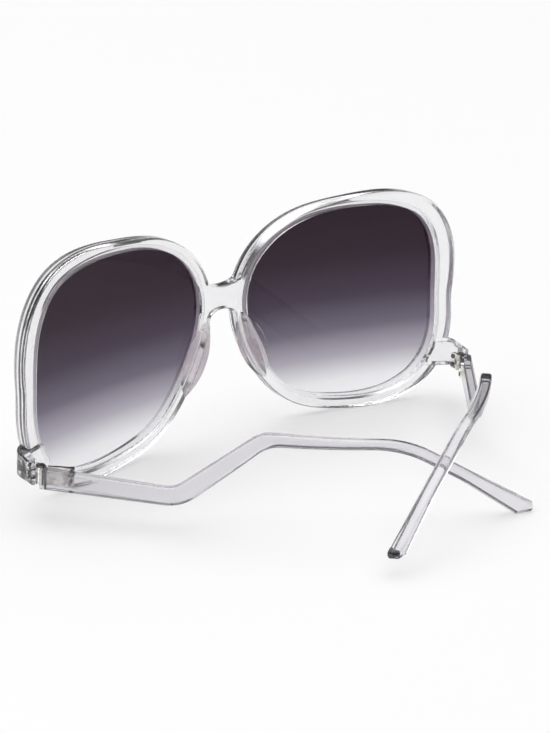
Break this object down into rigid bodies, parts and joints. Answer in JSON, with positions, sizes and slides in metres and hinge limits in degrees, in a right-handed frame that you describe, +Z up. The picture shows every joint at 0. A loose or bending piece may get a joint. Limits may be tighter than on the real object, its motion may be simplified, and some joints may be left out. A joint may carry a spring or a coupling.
{
  "type": "oversized sunglasses",
  "caption": "Oversized square sunglasses with a clear moulded front, graduated dark lenses, bonded nose pads and clear drop arms that fold on riveted barrel hinges.",
  "frame": {"origin": "on the mirror plane, at the top of the nose arch, on the rear face of the bridge", "axes": "+X to the wearer's left, +Y to the back along the arms when open, +Z up; the lenses face -Y"},
  "size_m": [0.156, 0.1043, 0.0648],
  "materials": {
    "clear_front": "gloss",
    "clear_arm": "gloss",
    "clear_pad": "satin",
    "tinted_lens": "gloss",
    "hinge_metal": "satin",
    "fastener_metal": "polished"
  },
  "bodies": {
    "front": {"front_frame": "clear_front", "left_lens": "tinted_lens", "right_lens": "tinted_lens", "left_nose_pad": "clear_pad", "right_nose_pad": "clear_pad", "left_front_hinge_leaf": "hinge_metal", "right_front_hinge_leaf": "hinge_metal", "left_front_hinge_rivets": "fastener_metal", "right_front_hinge_rivets": "fastener_metal", "left_hinge_screw": "fastener_metal", "right_hinge_screw": "fastener_metal"},
    "left_arm": {"left_temple": "clear_arm", "left_temple_hinge_leaf": "hinge_metal", "left_temple_hinge_rivets": "fastener_metal"},
    "right_arm": {"right_temple": "clear_arm", "right_temple_hinge_leaf": "hinge_metal", "right_temple_hinge_rivets": "fastener_metal"}
  },
  "joints": [
    {"name": "right_temple_fold", "type": "hinge", "parent": "front", "child": "right_arm", "pos_m": [-0.0749, 0.01945, -0.02491], "axis": [0.0436, 0, -0.999], "range_deg": [-40, 30]},
    {"name": "left_temple_fold", "type": "hinge", "parent": "front", "child": "left_arm", "pos_m": [0.0749, 0.01945, -0.02491], "axis": [0, 0, 1], "range_deg": [-44.8, 33.6]}
  ],
  "couplings": [
    {"joint": "left_temple_fold", "follows": "right_temple_fold", "ratio": 1.12}
  ]
}
